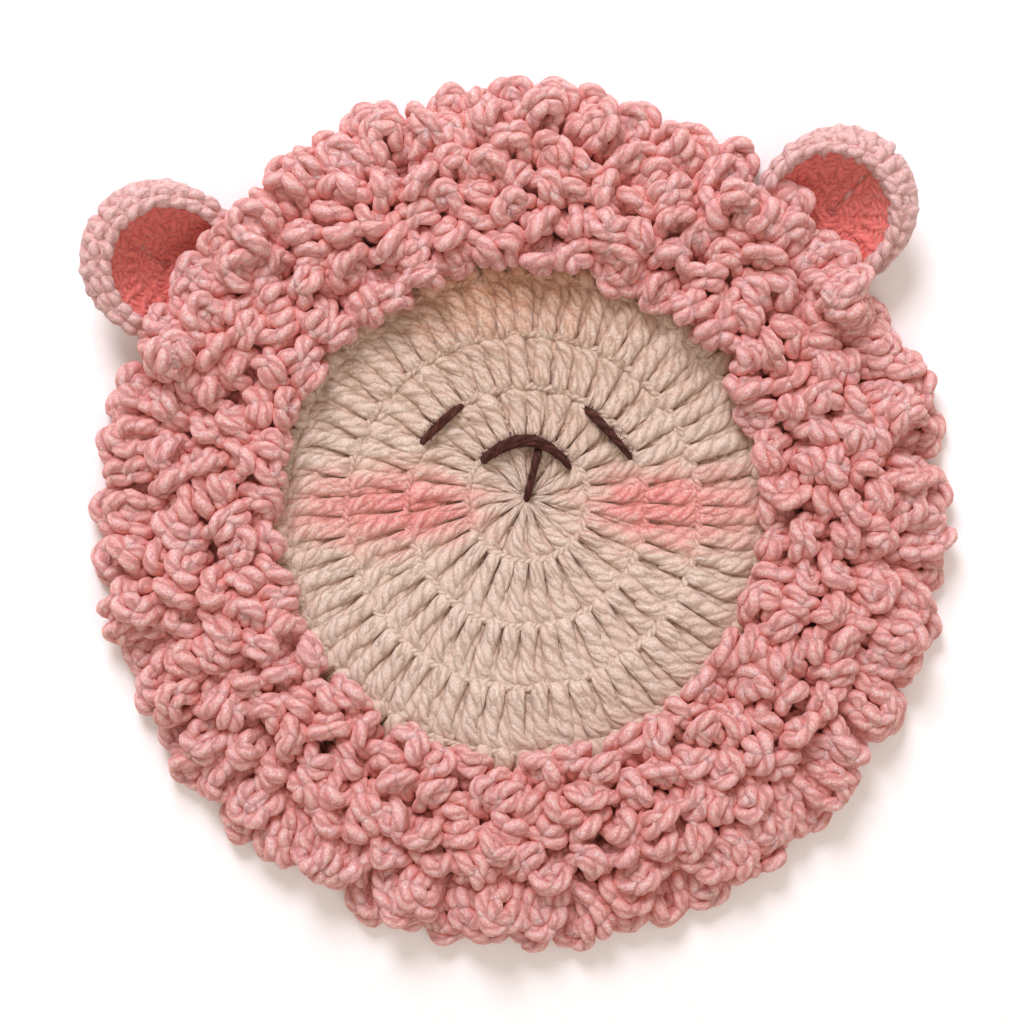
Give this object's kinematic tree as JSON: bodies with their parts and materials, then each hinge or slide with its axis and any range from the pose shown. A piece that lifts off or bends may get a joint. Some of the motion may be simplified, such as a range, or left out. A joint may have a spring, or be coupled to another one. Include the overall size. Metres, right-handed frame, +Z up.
{
  "type": "crocheted animal coaster",
  "caption": "Round crocheted table mat with a cream sleeping-animal face, a curly pink mane of chain loops and two cupped pink ears that fold up.",
  "frame": {"origin": "centre of the mat on its underside, where it rests on the table", "axes": "+Z up out of the face, +Y towards the top of the face, +X to the face's right as seen from above"},
  "size_m": [0.1615, 0.16, 0.0168],
  "materials": {
    "cream_yarn": "matte",
    "pink_yarn": "matte",
    "deep_pink_yarn": "matte",
    "brown_thread": "matte"
  },
  "bodies": {
    "root": {"magic_ring": "cream_yarn", "face_round_1": "cream_yarn", "face_round_2": "cream_yarn", "face_round_3": "cream_yarn", "face_round_4": "cream_yarn", "face_round_5": "cream_yarn", "mane_base_round_1": "pink_yarn", "mane_base_round_2": "pink_yarn", "mane_loop_row_1": "pink_yarn", "mane_loop_row_2": "pink_yarn", "mane_loop_row_3": "pink_yarn", "mane_loop_row_4": "pink_yarn", "mane_loop_row_5": "pink_yarn", "left_eye_stitch": "brown_thread", "right_eye_stitch": "brown_thread", "nose_arch_stitch": "brown_thread", "nose_stem_stitch": "brown_thread"},
    "left_ear": {"left_ear_rim_round": "pink_yarn", "left_ear_wall_round": "deep_pink_yarn", "left_ear_centre_round": "deep_pink_yarn", "left_ear_seam_yarn": "pink_yarn"},
    "right_ear": {"right_ear_rim_round": "pink_yarn", "right_ear_wall_round": "deep_pink_yarn", "right_ear_centre_round": "deep_pink_yarn", "right_ear_seam_yarn": "pink_yarn"}
  },
  "joints": [
    {"name": "left_ear_fold", "type": "hinge", "parent": "root", "child": "left_ear", "pos_m": [-0.05775, 0.04044, 0.0036], "axis": [0.5736, 0.8192, 0], "range_deg": [0, 50]},
    {"name": "right_ear_fold", "type": "hinge", "parent": "root", "child": "right_ear", "pos_m": [0.05071, 0.04897, 0.0036], "axis": [0.6947, -0.7193, 0], "range_deg": [0, 50]}
  ]
}
